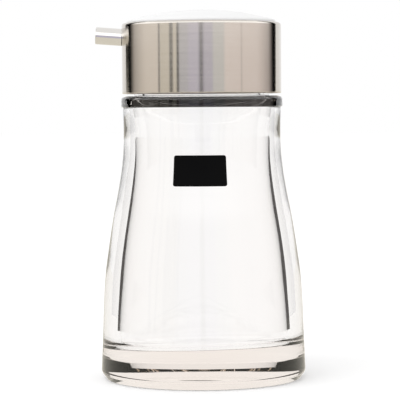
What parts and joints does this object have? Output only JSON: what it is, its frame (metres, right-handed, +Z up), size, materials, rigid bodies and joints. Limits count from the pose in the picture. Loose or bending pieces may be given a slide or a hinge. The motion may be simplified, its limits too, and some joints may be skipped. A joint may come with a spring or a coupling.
{
  "type": "soy sauce dispenser",
  "caption": "Waisted glass bottle with a steel-collared screw cap, a short side nozzle and a soft domed top that is pressed to give drops.",
  "frame": {"origin": "centre of the base on the surface that the bottle stands on, on the bottle's axis", "axes": "+Z up along the bottle's axis, -X along the nozzle, -Y out of the label"},
  "size_m": [0.066, 0.0648, 0.1164],
  "materials": {
    "bottle_glass": "clear pressed soda-lime glass, fire polished, stippled under the foot",
    "label_film": "plain black film, bare",
    "gasket_silicone": "translucent, matte",
    "cap_plastic": "white moulded polypropylene",
    "collar_steel": "satin stainless sheet with a soft sheen round the ring",
    "dome_silicone": "white silicone, matte",
    "nozzle_steel": "polished stainless tube",
    "washer_silicone": "grey silicone, matte"
  },
  "bodies": {
    "bottle": {"glass_bottle": "bottle_glass", "front_label": "label_film"},
    "gasket": {"mouth_gasket": "gasket_silicone"},
    "cap": {"inner_cap": "cap_plastic", "collar_shell": "collar_steel", "nozzle_tube": "nozzle_steel", "nozzle_washer": "washer_silicone"},
    "dome": {"push_dome": "dome_silicone"}
  },
  "joints": [
    {"name": "cap_rise", "type": "slide", "parent": "bottle", "child": "gasket", "axis": [0, 0, 1], "range_m": [0, 0.0127]},
    {"name": "cap_turn", "type": "hinge", "parent": "gasket", "child": "cap", "pos_m": [0, 0, 0.1], "axis": [0, 0, 1], "range_deg": [0, 1080]},
    {"name": "dome_press", "type": "slide", "parent": "cap", "child": "dome", "axis": [0, 0, -1], "range_m": [0, 0.0025], "stiffness_N_per_m": 1500, "deforming": ["push_dome"]}
  ],
  "couplings": [
    {"joint": "cap_turn", "follows": "cap_rise", "rad_per_m": 1484.2}
  ]
}
